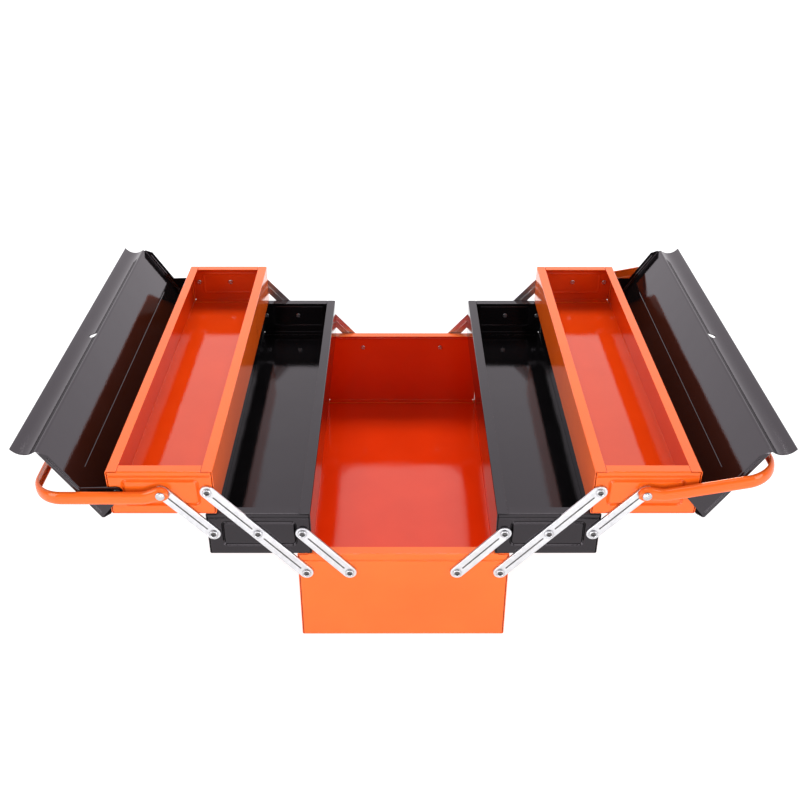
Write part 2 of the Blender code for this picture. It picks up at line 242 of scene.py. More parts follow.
def noise(tree, scale, detail=3.0, roughness=0.5, stretch=(1, 1, 1)):
    """Noise in the object's own metres, stretched along an axis where stretch is below 1."""
    place = tree.nodes.new("ShaderNodeTexCoord")
    mapping = tree.nodes.new("ShaderNodeMapping")
    mapping.inputs["Scale"].default_value = stretch
    texture = tree.nodes.new("ShaderNodeTexNoise")
    texture.inputs["Scale"].default_value = scale
    texture.inputs["Detail"].default_value = detail
    texture.inputs["Roughness"].default_value = roughness
    tree.links.new(place.outputs["Object"], mapping.inputs["Vector"])
    tree.links.new(mapping.outputs["Vector"], texture.inputs["Vector"])
    return texture.outputs["Fac"]


def spread(tree, value, low, high, from_low=0.3, from_high=0.7):
    """A value mapped to the range from low to high."""
    mapped = tree.nodes.new("ShaderNodeMapRange")
    mapped.inputs["From Min"].default_value = from_low
    mapped.inputs["From Max"].default_value = from_high
    mapped.inputs["To Min"].default_value = low
    mapped.inputs["To Max"].default_value = high
    tree.links.new(value, mapped.inputs["Value"])
    return mapped.outputs["Result"]


def blend_colours(tree, factor, first, second):
    mix = tree.nodes.new("ShaderNodeMix")
    mix.data_type = "RGBA"
    mix.inputs["A"].default_value = (*first, 1)
    mix.inputs["B"].default_value = (*second, 1)
    tree.links.new(factor, mix.inputs["Factor"])
    return mix.outputs["Result"]


def over_colour(tree, factor, below, second):
    mix = tree.nodes.new("ShaderNodeMix")
    mix.data_type = "RGBA"
    mix.inputs["B"].default_value = (*second, 1)
    tree.links.new(factor, mix.inputs["Factor"])
    tree.links.new(below, mix.inputs["A"])
    return mix.outputs["Result"]


def add_values(tree, first, second):
    total = tree.nodes.new("ShaderNodeMath")
    total.operation = "ADD"
    tree.links.new(first, total.inputs[0])
    tree.links.new(second, total.inputs[1])
    return total.outputs["Value"]


def bump(tree, height, strength, distance, below=None):
    relief = tree.nodes.new("ShaderNodeBump")
    relief.inputs["Strength"].default_value = strength
    relief.inputs["Distance"].default_value = distance
    tree.links.new(height, relief.inputs["Height"])
    if below is not None:
        tree.links.new(below, relief.inputs["Normal"])
    return relief.outputs["Normal"]


def enamel(name, light, deep, speck, gloss_tint, index):
    """Gloss enamel: uneven film, orange peel, slightly wavy sheet under it, wiping marks and dust."""
    material, tree, shader = new_material(name)
    film = spread(tree, noise(tree, 14, 4), 0, 1)
    colour = blend_colours(tree, film, light, deep)
    dust = spread(tree, noise(tree, 2600, 1), 0, 0.30, 0.76, 0.82)
    tree.links.new(over_colour(tree, dust, colour, speck), shader.inputs["Base Color"])
    smears = spread(tree, noise(tree, 60, 5, 0.6, (1, 0.12, 1)), 0, 0.035)
    patches = spread(tree, noise(tree, 11, 3), 0.040, 0.070)
    tree.links.new(add_values(tree, smears, patches), shader.inputs["Roughness"])
    waves = bump(tree, noise(tree, 16, 2), 0.08, 0.004)
    peel = bump(tree, noise(tree, 700, 2), 0.055, 0.0006, waves)
    tree.links.new(peel, shader.inputs["Normal"])
    shader.inputs["IOR"].default_value = index
    shader.inputs["Specular Tint"].default_value = (*gloss_tint, 1)
    return material


def thin_enamel(name, colour, worn):
    """Enamel drawn thin over a cut edge, with the priming showing through in places."""
    material, tree, shader = new_material(name)
    wear = spread(tree, noise(tree, 240, 4, 0.7), 0, 0.45, 0.52, 0.68)
    tree.links.new(blend_colours(tree, wear, colour, worn), shader.inputs["Base Color"])
    tree.links.new(spread(tree, noise(tree, 300, 3), 0.18, 0.34), shader.inputs["Roughness"])
    tree.links.new(bump(tree, noise(tree, 1500, 3), 0.15, 0.0004), shader.inputs["Normal"])
    return material


def zinc(name, light, dark, roughness, grain):
    """Bright zinc plate: cloudy grey patches, fine grain along the part and small dark spots."""
    material, tree, shader = new_material(name)
    clouds = spread(tree, noise(tree, 130, 5, 0.65), 0, 1)
    colour = blend_colours(tree, clouds, light, dark)
    spots = spread(tree, noise(tree, 900, 2), 0, 0.5, 0.68, 0.76)
    dark_spot = tuple(channel * 0.45 for channel in dark)
    tree.links.new(over_colour(tree, spots, colour, dark_spot), shader.inputs["Base Color"])
    brushing = noise(tree, 900, 4, 0.6, grain)
    tree.links.new(spread(tree, brushing, roughness, roughness + 0.16), shader.inputs["Roughness"])
    tree.links.new(bump(tree, brushing, 0.12, 0.0003), shader.inputs["Normal"])
    shader.inputs["Metallic"].default_value = 1
    return material


# ---- Mesh building

def finish_mesh(shape, name):
    mesh = bpy.data.meshes.new(name)
    shape.to_mesh(mesh)
    shape.free()
    mesh.shade_smooth()
    return mesh


def add_piece(name, mesh, materials):
    piece = bpy.data.objects.new(name, mesh)
    for material in materials:
        mesh.materials.append(material)
    bpy.context.scene.collection.objects.link(piece)
    return piece


def settle(piece, place):
    """Put the piece's mesh where it belongs, so that its object stays at the row's origin."""
    piece.data.transform(place)
    piece.data.update()


def stands_for(piece, node):
    """The piece takes the place of a CAD node and moves with its body."""
    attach(piece, node_body[node])
    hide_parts(node)


def add_thickness(piece, inner_material=0):
    """The sheet's thickness, laid on behind its outer face."""
    solidify = piece.modifiers.new("thickness", "SOLIDIFY")
    # The inner faces take the material at this offset; for orange pieces it is the deeper copy of the
    # enamel, which paints shade inside.
    solidify.material_offset = inner_material
    solidify.thickness = SHEET
    solidify.offset = -1
    solidify.use_even_offset = True
    solidify.use_quality_normals = True


def soften_edges(piece):
    """Small rounding of the cut edges, which takes the piece's second material."""
    rounding = piece.modifiers.new("softened_edges", "BEVEL")
    rounding.width = EDGE_SOFTENING
    rounding.segments = 2
    rounding.limit_method = "ANGLE"
    rounding.angle_limit = math.radians(50)
    rounding.material = CUT_EDGE
    shading = piece.modifiers.new("flat_faces", "WEIGHTED_NORMAL")
    shading.mode = "FACE_AREA"
    shading.weight = 80


def cut_holes(piece, holes):
    """Cut round holes, each given by its centre, axis and radius, and keep the cut mesh."""
    drills = bmesh.new()
    for centre, axis, radius in holes:
        turn = Vector((0, 0, 1)).rotation_difference(axis).to_matrix().to_4x4()
        bmesh.ops.create_cone(
            drills,
            cap_ends=True,
            segments=HOLE_SIDES,
            radius1=radius,
            radius2=radius,
            depth=DRILL_LENGTH,
            matrix=Matrix.Translation(centre) @ turn,
        )
    mesh = bpy.data.meshes.new("drill")
    drills.to_mesh(mesh)
    drills.free()
    cutter = bpy.data.objects.new("drill", mesh)
    bpy.context.scene.collection.objects.link(cutter)
    cut = piece.modifiers.new("holes", "BOOLEAN")
    cut.solver = "EXACT"
    cut.object = cutter
    bpy.context.view_layer.update()
    seen = piece.evaluated_get(bpy.context.evaluated_depsgraph_get())
    piece.data = bpy.data.meshes.new_from_object(seen)
    piece.modifiers.clear()
    bpy.data.objects.remove(cutter)


def closed_loop(shape, points):
    return [shape.verts.new(point) for point in points]


def loop_edges(shape, loop):
    edges = []
    for start, end in zip(loop, loop[1:] + loop[:1]):
        edges.append(shape.edges.get((start, end)) or shape.edges.new((start, end)))
    return edges


def join_loops(shape, first, second, material=0):
    for index in range(len(first)):
        following = (index + 1) % len(first)
        face = shape.faces.new((first[index], first[following], second[following], second[index]))
        face.material_index = material


def join_rows(shape, first, second):
    """Faces between two open rows of points."""
    for index in range(len(first) - 1):
        shape.faces.new((first[index], first[index + 1], second[index + 1], second[index]))


def fill_between(shape, outer, holes, outward):
    """Flat face inside an outer loop and around any holes."""
    edges = loop_edges(shape, outer)
    for hole in holes:
        edges += loop_edges(shape, hole)
    bmesh.ops.triangle_fill(shape, use_beauty=True, use_dissolve=False, edges=edges, normal=outward)


def bend_on(shape, row, forward, inward, radius):
    """Quarter bend from a row of points: forward is the sheet's direction there, inward the bend's."""
    last = row
    for step in range(1, FOLD_STEPS + 1):
        angle = math.pi / 2 * step / FOLD_STEPS
        shift = radius * (math.sin(angle) * forward + (1 - math.cos(angle)) * inward)
        bent = [shape.verts.new(point.co + shift) for point in row]
        join_rows(shape, last, bent)
        last = bent
    return last


def flange_on(shape, row, ends):
    """Flat flange from a row to new points, one for each point of the row."""
    edge = [shape.verts.new(point) for point in ends]
    join_rows(shape, row, edge)
    return edge


def face_outward(shape, inside_point):
    """Turn the whole sheet so that its faces look away from a point inside the box it folds round."""
    bmesh.ops.recalc_face_normals(shape, faces=shape.faces)
    total = 0.0
    for face in shape.faces:
        total += face.calc_area() * face.normal.dot(face.calc_center_median() - inside_point)
    if total < 0:
        bmesh.ops.reverse_faces(shape, faces=shape.faces)


def circle(centre, radius, sides, along, across):
    points = []
    for step in range(sides):
        angle = 2 * math.pi * step / sides
        points.append(centre + radius * (math.cos(angle) * along + math.sin(angle) * across))
    return points


def round_rectangle(low, high, radius, corner_steps=6):
    """Corners (u, v) of a rectangle with round corners, counter-clockwise."""
    points = []
    corners = [(high[0], high[1], 0), (low[0], high[1], 1), (low[0], low[1], 2), (high[0], low[1], 3)]
    for u, v, quarter in corners:
        centre_u = u - math.copysign(radius, u - (low[0] + high[0]) / 2)
        centre_v = v - math.copysign(radius, v - (low[1] + high[1]) / 2)
        for step in range(corner_steps + 1):
            angle = math.pi / 2 * (quarter + step / corner_steps)
            points.append((centre_u + radius * math.cos(angle), centre_v + radius * math.sin(angle)))
    return points


def ease(share):
    return share * share * (3 - 2 * share)


# ---- Base and trays

def add_shell(node, materials):
    """Floor, side walls and inward rims, folded from one sheet with real bend radii."""
    low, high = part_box(node)
    middle = (low + high) / 2
    half = high.x - middle.x
    ends = (SHELL_SET_BACK - HALF_LENGTH, HALF_LENGTH - SHELL_SET_BACK)
    shape = bmesh.new()
    bottoms = []
    for side in (-1, 1):
        outer_x = middle.x + side * half
        outward = Vector((side, 0, 0))
        up = Vector((0, 0, 1))
        bottom_row = [shape.verts.new((outer_x, y, low.z + FOLD_RADIUS)) for y in ends]
        top_row = [shape.verts.new((outer_x, y, high.z - FOLD_RADIUS)) for y in ends]
        shape.faces.new(bottom_row + list(reversed(top_row)))
        bottoms.append(bend_on(shape, bottom_row, -up, -outward, FOLD_RADIUS))
        rim_row = bend_on(shape, top_row, up, -outward, FOLD_RADIUS)
        inner_x = middle.x + side * (half - RIM_WIDTH)
        flange_on(shape, rim_row, [(inner_x, point.co.y, high.z) for point in rim_row])
    shape.faces.new(bottoms[0] + list(reversed(bottoms[1])))
    face_outward(shape, middle)
    piece = add_piece(node + "_formed", finish_mesh(shape, node), materials)
    add_thickness(piece, INSIDE)
    soften_edges(piece)
    stands_for(piece, node)


def press_rectangle(shape, low, high, face_y, relief):
    """Channel pressed along a rectangle with round corners; returns its outer and inner loops."""
    loops = []
    for step in range(PRESS_STEPS + 1):
        share = step / PRESS_STEPS
        inset = PRESS_WIDTH * share
        corners = round_rectangle(
            (low[0] + inset, low[1] + inset),
            (high[0] - inset, high[1] - inset),
            PRESS_CORNER - inset,
        )
        y = face_y + relief * ease(1 - abs(2 * share - 1))
        loops.append(closed_loop(shape, [(x, y, z) for x, z in corners]))
    for outer, inner in zip(loops, loops[1:]):
        join_loops(shape, outer, inner)
    return loops[0], loops[-1]


def hole_loop(shape, x, y, z):
    points = circle(Vector((x, y, z)), HOLE_RADIUS, HOLE_SIDES, Vector((1, 0, 0)), Vector((0, 0, 1)))
    return closed_loop(shape, points)


def within(place, low, high):
    return low[0] < place[0] < high[0] and low[1] < place[1] < high[1]


def add_end_panel(node, end_name, pivots, pressed, materials):
    """Pan-shaped end panel: face, flanges behind the side walls and floor, and a rim along the top."""
    end = ENDS[end_name]
    inward = -end
    outward = Vector((0, end, 0))
    low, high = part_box(node)
    middle = (low + high) / 2
    half = high.x - middle.x
    top = high.z
    face_y = end * HALF_LENGTH
    flat_half = half - PANEL_SIDE_GAP[end_name] - PANEL_FOLD_RADIUS
    rim_half = half + SHEET - RIM_WIDTH - SEAM
    left, right = middle.x - flat_half, middle.x + flat_half
    lower = low.z + SHEET + SEAM + PANEL_FOLD_RADIUS
    upper = top - PANEL_FOLD_RADIUS
    corners = [
        (left, lower),
        (right, lower),
        (right, upper),
        (middle.x + rim_half, upper),
        (middle.x - rim_half, upper),
        (left, upper),
    ]
    shape = bmesh.new()
    outline = closed_loop(shape, [(x, face_y, z) for x, z in corners])
    groove_relief = inward * PANEL_GROOVE_DEPTH[end_name]
    if pressed:
        press_low = (middle.x - half + PRESS_SIDE_MARGIN, low.z + PRESS_BOTTOM_MARGIN)
        press_high = (middle.x + half - PRESS_SIDE_MARGIN, top - PRESS_TOP_MARGIN)
        relief = inward * PRESS_DEPTH[end_name]
        outer, inner = press_rectangle(shape, press_low, press_high, face_y, relief)
        in_field = [place for place in pivots if within(place, press_low, press_high)]
        beside = [place for place in pivots if not within(place, press_low, press_high)]
        inside = [hole_loop(shape, x, face_y, z) for x, z in in_field]
        around = [hole_loop(shape, x, face_y, z) for x, z in beside]
        fill_between(shape, inner, inside, outward)
        groove_z = top - TRAY_GROOVE_DROP
        add_grooved_face(shape, outline, [outer] + around, face_y, groove_relief, groove_z, outward)
    else:
        holes = [hole_loop(shape, x, face_y, z) for x, z in pivots]
        add_grooved_face(shape, outline, holes, face_y, groove_relief, top - BASE_GROOVE_DROP, outward)
    into = Vector((0, inward, 0))
    depth = face_y + inward * FLANGE
    for pair, forward in (((0, 5), Vector((-1, 0, 0))), ((2, 1), Vector((1, 0, 0)))):
        row = bend_on(shape, side_row(shape, outline, pair), forward, into, PANEL_FOLD_RADIUS)
        flange_on(shape, row, [(point.co.x, depth, point.co.z) for point in row])
    down = bend_on(shape, [outline[1], outline[0]], Vector((0, 0, -1)), into, PANEL_FOLD_RADIUS)
    flange_on(shape, down, [(point.co.x, depth, point.co.z) for point in down])
    rim = bend_on(shape, [outline[4], outline[3]], Vector((0, 0, 1)), into, PANEL_FOLD_RADIUS)
    rim_y = face_y + inward * RIM_WIDTH
    flange_on(shape, rim, [(point.co.x, rim_y, top) for point in rim])
    face_outward(shape, Vector((middle.x, 0, middle.z)))
    piece = add_piece(node + "_formed", finish_mesh(shape, node), materials)
    add_thickness(piece, INSIDE)
    soften_edges(piece)
    stands_for(piece, node)


def side_row(shape, outline, pair):
    """Points up one side of a panel's face, with any points that a groove adds between them."""
    first, last = outline[pair[0]], outline[pair[1]]
    low_z, high_z = sorted((first.co.z, last.co.z))
    column = [
        vert
        for vert in shape.verts
        if abs(vert.co.x - first.co.x) < 1e-7 and low_z <= vert.co.z <= high_z
    ]
    column.sort(key=lambda vert: vert.co.z, reverse=first.co.z > last.co.z)
    return column


def add_grooved_face(shape, outline, holes, face_y, relief, groove_z, outward):
    """Flat face round the holes, with a straight groove across it below the rim."""
    left, right = outline[0].co.x, outline[1].co.x
    lines = []
    for step in range(-PANEL_GROOVE_STEPS, PANEL_GROOVE_STEPS + 1):
        share = step / PANEL_GROOVE_STEPS
        y = face_y + relief * ease(1 - abs(share))
        z = groove_z + share * PANEL_GROOVE_HALF
        lines.append([shape.verts.new((x, y, z)) for x in (left, right)])
    for below, above in zip(lines, lines[1:]):
        join_rows(shape, below, above)
    shape.faces.new([lines[-1][0], lines[-1][1]] + outline[2:])
    fill_between(shape, [outline[0], outline[1], lines[0][1], lines[0][0]], holes, outward)


# ---- Links and rivets

def stadium(low_z, high_z, half, y, steps=12):
    """Outline of a bar with round ends, along Z in the XZ plane."""
    points = []
    for centre, start in ((high_z, 0), (low_z, math.pi)):
        for step in range(steps + 1):
            angle = start + math.pi * step / steps
            points.append((half * math.cos(angle), y, centre + half * math.sin(angle)))
    return points


def link_line(shape, span, y, half, depth, material):
    """Line pressed along the middle of a link, towards +Y; returns its outer loop."""
    loops = []
    for share in LINE_SHARES:
        level = y + depth * ease(share / LINE_SHARES[-1])
        loops.append(closed_loop(shape, stadium(*span, half * (1 - share), level, 6)))
    for outer, inner in zip(loops, loops[1:]):
        join_loops(shape, outer, inner, material)
    shape.faces.new(loops[-1]).material_index = material
    return loops[0]


def link_mesh(name, pivots):
    """Stamped flat link grooved in front and ribbed behind between its rivets; it looks along -Y."""
    half = LINK_WIDTH / 2
    front, back = -LINK_THICKNESS / 2, LINK_THICKNESS / 2
    length = pivots[-1]
    shape = bmesh.new()
    profile = [(0, back)]
    for step in range(4):
        angle = math.pi / 2 * step / 3
        inset = LINK_ROUNDING * (1 - math.cos(angle))
        profile.append((inset, front + LINK_ROUNDING * (1 - math.sin(angle))))
    loops = [closed_loop(shape, stadium(0, length, half - inset, y)) for inset, y in profile]
    for outer, inner in zip(loops, loops[1:]):
        join_loops(shape, outer, inner)
    front_openings = []
    back_openings = []
    for z in pivots:
        front_openings.append(hole_loop(shape, 0, front, z))
        back_openings.append(hole_loop(shape, 0, back, z))
        join_loops(shape, back_openings[-1], front_openings[-1])
    for start, end in zip(pivots, pivots[1:]):
        span = (start + GROOVE_END, end - GROOVE_END)
        # The groove's faces take the dark zinc, which paints the shade in it.
        front_openings.append(link_line(shape, span, front, GROOVE_HALF, GROOVE_DEPTH, RECESS_SHADE))
        back_openings.append(link_line(shape, span, back, RIB_HALF, RIB_RISE, 0))
    fill_between(shape, loops[-1], front_openings, Vector((0, -1, 0)))
    fill_between(shape, loops[0], back_openings, Vector((0, 1, 0)))
    bmesh.ops.recalc_face_normals(shape, faces=shape.faces)
    mesh = finish_mesh(shape, name)
    mesh.set_sharp_from_angle(angle=math.radians(40))
    return mesh


def add_link(node, end, side, mesh_for, materials):
    """One link along the line of its pivots, from its box in the CAD."""
    low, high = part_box(node)
    radius = LINK_WIDTH / 2
    foot = Vector((low.x + radius if side > 0 else high.x - radius, 0, low.z + radius))
    head = Vector((high.x - radius if side > 0 else low.x + radius, 0, high.z - radius))
    along = head - foot
    mesh = mesh_for(node, along.length)
    piece = bpy.data.objects.new(node + "_stamped", mesh)
    bpy.context.scene.collection.objects.link(piece)
    if not mesh.materials:
        for material in materials:
            mesh.materials.append(material)
    lean = math.atan2(along.x, along.z)
    turn = Matrix.Rotation(lean, 4, "Y")
    if end > 0:
        turn = turn @ Matrix.Rotation(math.pi, 4, "Z")
    centre_y = end * (HALF_LENGTH + LINK_STANDOFF + LINK_THICKNESS / 2)
    piece.matrix_world = Matrix.Translation((foot.x, centre_y, foot.z)) @ turn
    shading = piece.modifiers.new("flat_faces", "WEIGHTED_NORMAL")
    shading.keep_sharp = True
    stands_for(piece, node)


def turned_mesh(name, profile):
    """Solid turned about Z from (radius, z) points that start and end on the axis."""
    shape = bmesh.new()
    rings = []
    for radius, z in profile:
        if radius == 0:
            rings.append([shape.verts.new((0, 0, z))])
        else:
            centre = Vector((0, 0, z))
            points = circle(centre, radius, RIVET_SIDES, Vector((1, 0, 0)), Vector((0, 1, 0)))
            rings.append(closed_loop(shape, points))
    for lower, upper in zip(rings, rings[1:]):
        for step in range(RIVET_SIDES):
            following = (step + 1) % RIVET_SIDES
            if len(lower) == 1:
                shape.faces.new((lower[0], upper[following], upper[step]))
            elif len(upper) == 1:
                shape.faces.new((lower[step], lower[following], upper[0]))
            else:
                shape.faces.new((lower[step], lower[following], upper[following], upper[step]))
    bmesh.ops.recalc_face_normals(shape, faces=shape.faces)
    mesh = finish_mesh(shape, name)
    mesh.set_sharp_from_angle(angle=math.radians(40))
    return mesh


def rivet_tail():
    """Set tail behind the panel and the shank up to the head, from the axis outwards."""
    seat = -SHEET - SEAM
    tip = seat - TAIL_HEIGHT
    return [
        (0, tip + TAIL_DIMPLE_DEPTH),
        (TAIL_DIMPLE_RADIUS, tip + TAIL_DIMPLE_DEPTH),
        (TAIL_DIMPLE_MOUTH, tip),
        (TAIL_RADIUS - 0.0005, tip),
        (TAIL_RADIUS - 0.0001, tip + 0.0003),
        (TAIL_RADIUS, seat - 0.0002),
        (TAIL_RADIUS, seat),
        (SHANK_RADIUS, seat),
    ]


def eyelet_mesh(name, seat):
    """Rivet with a rolled ring for a head and a hollow in the middle of it, painted dark for the shade in
    it.
    """
    ring = [(SHANK_RADIUS, seat), (HEAD_RADIUS, seat), (HEAD_RADIUS, seat + HEAD_EDGE)]
    rise = HEAD_HEIGHT - EYELET_CROWN_SEAT
    for step in range(EYELET_STEPS + 1):
        angle = math.pi * step / EYELET_STEPS
        radius = EYELET_CROWN + (HEAD_RADIUS - EYELET_CROWN) * math.cos(angle)
        ring.append((radius, seat + EYELET_CROWN_SEAT + rise * math.sin(angle)))
    floor = seat - HOLLOW_DEPTH
    mouth = 2 * EYELET_CROWN - HEAD_RADIUS
    hollow = [(mouth - 0.0001, seat), (mouth - 0.0003, floor + 0.0001), (mouth - 0.0006, floor), (0, floor)]
    mesh = turned_mesh(name, rivet_tail() + ring + hollow)
    for face in mesh.polygons:
        inside = math.hypot(face.center.x, face.center.y) < mouth
        # Faces in the hollow take the dark zinc: painted shade.
        face.material_index = RECESS_SHADE if inside and face.center.z > 0 else 0
    return mesh


def dome_mesh(name, seat, head_radius):
    """Rivet with a plain domed head, which has the second material."""
    dome = [(SHANK_RADIUS, seat), (head_radius, seat), (head_radius, seat + DOME_EDGE)]
    rise = HEAD_HEIGHT - DOME_EDGE
    for step in range(1, DOME_STEPS + 1):
        angle = math.pi / 2 * step / DOME_STEPS
        radius = head_radius * math.cos(angle) if step < DOME_STEPS else 0
        dome.append((radius, seat + DOME_EDGE + rise * math.sin(angle)))
    mesh = turned_mesh(name, rivet_tail() + dome)
    for face in mesh.polygons:
        face.material_index = int(face.center.z > seat - HEAD_MARGIN)
    return mesh


def add_rivet(name, mesh, place, end):
    piece = bpy.data.objects.new(name, mesh)
    bpy.context.scene.collection.objects.link(piece)
    turn = Matrix.Rotation(-end * math.pi / 2, 4, "X")
    piece.matrix_world = Matrix.Translation((place.x, end * HALF_LENGTH, place.z)) @ turn
    return piece


# ---- Lid

def tangent_angle(point, radius, turn):
    """Angle at which a line from a point touches a circle about the origin, on one side of it."""
    return math.atan2(point[1], point[0]) + turn * math.acos(radius / math.hypot(*point))


def press_bead(shape, place, low, high, half, rise):
    """Long narrow bead; place gives the point for a distance along it, across it and out of the face."""
    outer = None
    previous = None
    for share in BEAD_SHARES:
        points = []
        for across, _, along in stadium(low + half, high - half, half * (1 - share), 0, 8):
            points.append(place(along, across, rise * ease(share / BEAD_SHARES[-1])))
        loop = closed_loop(shape, points)
        if previous:
            join_loops(shape, previous, loop)
        outer = outer or loop
        previous = loop
    shape.faces.new(previous)
    return outer


def lid_mesh(name):
    """Cover with a bead, skirt, curved lip and end cheeks, shut, about its pivot at the origin."""
    end_y = HALF_LENGTH + LID_STANDOFF + SHEET
    radius = FOLD_RADIUS
    fold_x = LID_CORNER_X - LID_LENGTH_X
    top = LID_TOP_Z
    up = Vector((0, 0, 1))
    out = Vector((1, 0, 0))
    shape = bmesh.new()
    near_x, far_x = LID_CORNER_X - radius, fold_x + radius
    cover_y = end_y - radius
    cover = closed_loop(shape, [(near_x, -cover_y, top), (near_x, cover_y, top)])
    cover += closed_loop(shape, [(far_x, cover_y, top), (far_x, -cover_y, top)])
    half_bead = LID_BEAD_LENGTH / 2

    def on_cover(along, across, out_of_face):
        return (LID_BEAD_X + across, along, top + out_of_face)

    bead = press_bead(shape, on_cover, -half_bead, half_bead, LID_BEAD_HALF, LID_BEAD_DEPTH)
    fill_between(shape, cover, [bead], up)
    skirt = bend_on(shape, [cover[0], cover[1]], out, -up, radius)
    flange_on(shape, skirt, [(point.co.x, point.co.y, top - LID_SKIRT) for point in skirt])
    lip = bend_on(shape, [cover[3], cover[2]], -out, up, radius)
    lip = flange_on(shape, lip, [(fold_x, point.co.y, top + LIP_RISER) for point in lip])
    for step in range(1, LIP_STEPS + 1):
        angle = math.pi / 2 * step / LIP_STEPS
        x = fold_x - LIP_RADIUS * (1 - math.cos(angle))
        z = top + LIP_RISER + LIP_RADIUS * math.sin(angle)
        lip = flange_on(shape, lip, [(x, point.co.y, z) for point in lip])
    corner = (near_x, top - radius)
    gusset = (LID_GUSSET_X, top - LID_FLANGE)
    far = (far_x, top - radius)
    outer_touch = tangent_angle(corner, LID_BOSS_RADIUS, -1)
    inner_touch = tangent_angle(gusset, LID_BOSS_RADIUS, 1) - 2 * math.pi
    for end, pair in ((-1, (3, 0)), (1, (1, 2))):
        edge = bend_on(shape, [cover[pair[0]], cover[pair[1]]], Vector((0, end, 0)), -up, radius)
        if end > 0:
            edge = list(reversed(edge))
        y = end * end_y
        places = []
        for step in range(BOSS_STEPS + 1):
            angle = outer_touch + (inner_touch - outer_touch) * step / BOSS_STEPS
            places.append((LID_BOSS_RADIUS * math.cos(angle), LID_BOSS_RADIUS * math.sin(angle)))
        places += [gusset, (far[0] + LID_FLANGE, top - LID_FLANGE)]
        loop = [edge[1]] + closed_loop(shape, [(x, y, z) for x, z in places]) + [edge[0]]
        hole = hole_loop(shape, 0, y, 0)

        def on_cheek(along, across, out_of_face):
            return (along, y + end * out_of_face, top - CHEEK_BEAD_DROP + across)

        start = far_x + CHEEK_BEAD_DROP + CHEEK_BEAD_END
        stop = near_x - CHEEK_BEAD_END
        bead = press_bead(shape, on_cheek, start, stop, CHEEK_BEAD_HALF, CHEEK_BEAD_DEPTH)
        fill_between(shape, loop, [hole, bead], Vector((0, end, 0)))
    face_outward(shape, Vector((LID_INSIDE_X, 0, 0)))
    return finish_mesh(shape, name)


def add_lid(side, materials):
    node = f"{side}_lid"
    pivot = joint_place[f"{side}_lid_shut"]
    piece = add_piece(node + "_formed", lid_mesh(node), materials)
    add_thickness(piece)
    lip_x = LID_CORNER_X - LID_LENGTH_X
    hasp = Vector((lip_x, 0, LID_TOP_Z + PADLOCK_HOLE_RISE))
    cut_holes(piece, [(hasp, Vector((1, 0, 0)), PADLOCK_HOLE_RADIUS)])
    turn = Matrix.Rotation(0 if side == "right" else math.pi, 4, "Z")
    opening = Matrix.Rotation(LID_OPENING, 4, "Y")
    settle(piece, Matrix.Translation((pivot.x, 0, pivot.z)) @ turn @ opening)
    piece.data.shade_smooth()
    soften_edges(piece)
    stands_for(piece, node)


# ---- Handle

def handle_section(half_width):
    """Channel section (inward, up), open on its inner side, with rolled corners."""
    depth = HANDLE_DEPTH
    curve = min(HANDLE_CURVE, HANDLE_CURVE_SHARE * half_width)
    inner_round = HANDLE_INNER_ROUND
    inner = half_width - HANDLE_SHEET
    points = [(depth, half_width)]
    for step in range(HANDLE_CURVE_STEPS + 1):
        angle = math.pi / 2 * step / HANDLE_CURVE_STEPS
        points.append((HANDLE_CROWN * (1 - math.sin(angle)), half_width - curve * (1 - math.cos(angle))))
    for step in range(HANDLE_CURVE_STEPS + 1):
        angle = math.pi / 2 * step / HANDLE_CURVE_STEPS
        points.append((HANDLE_CROWN * (1 - math.cos(angle)), curve * (1 - math.sin(angle)) - half_width))
    points += [(depth, -half_width), (depth, -inner)]
    for step in range(HANDLE_INNER_STEPS + 1):
        angle = math.pi / 2 * step / HANDLE_INNER_STEPS
        reach = HANDLE_SHEET + inner_round * (1 - math.sin(angle))
        points.append((reach, -inner + inner_round * (1 - math.cos(angle))))
    for step in range(HANDLE_INNER_STEPS + 1):
        angle = math.pi / 2 * step / HANDLE_INNER_STEPS
        reach = HANDLE_SHEET + inner_round * (1 - math.cos(angle))
        points.append((reach, inner - inner_round * (1 - math.sin(angle))))
    points.append((depth, inner))
    return points


def handle_stations():
    """Places along the U: point on its outer face, inward direction and half width of the section."""
    half_width = HANDLE_WIDTH / 2
    face_y = HALF_LENGTH + HANDLE_STANDOFF + HANDLE_DEPTH
    radius = HANDLE_BEND_RADIUS
    into = Vector((0, 1, 0))
    stations = []
    for step in range(HANDLE_EYE_STEPS + 1):
        angle = HANDLE_EYE_CUT * (1 - step / HANDLE_EYE_STEPS)
        place = Vector((-HANDLE_EYE_RADIUS * math.sin(angle), -face_y, 0))
        stations.append((place, into, HANDLE_EYE_RADIUS * math.cos(angle)))
    for step in range(1, HANDLE_NECK_STEPS + 1):
        share = step / HANDLE_NECK_STEPS
        place = Vector((HANDLE_NECK * share, -face_y, -HANDLE_DROP * ease(share)))
        width = HANDLE_EYE_RADIUS + (half_width - HANDLE_EYE_RADIUS) * ease(share)
        stations.append((place, into, width))
    centre = Vector((HANDLE_REACH - radius, radius - face_y, -HANDLE_DROP))
    for step in range(HANDLE_BEND_STEPS + 1):
        angle = math.pi / 2 * (1 - step / HANDLE_BEND_STEPS)
        outward = Vector((math.cos(angle), -math.sin(angle), 0))
        stations.append((centre + radius * outward, -outward, half_width))
    far_half = []
    for point, inward, width in reversed(stations):
        far_half.append((Vector((point.x, -point.y, point.z)), Vector((inward.x, -inward.y, 0)), width))
    return stations + far_half


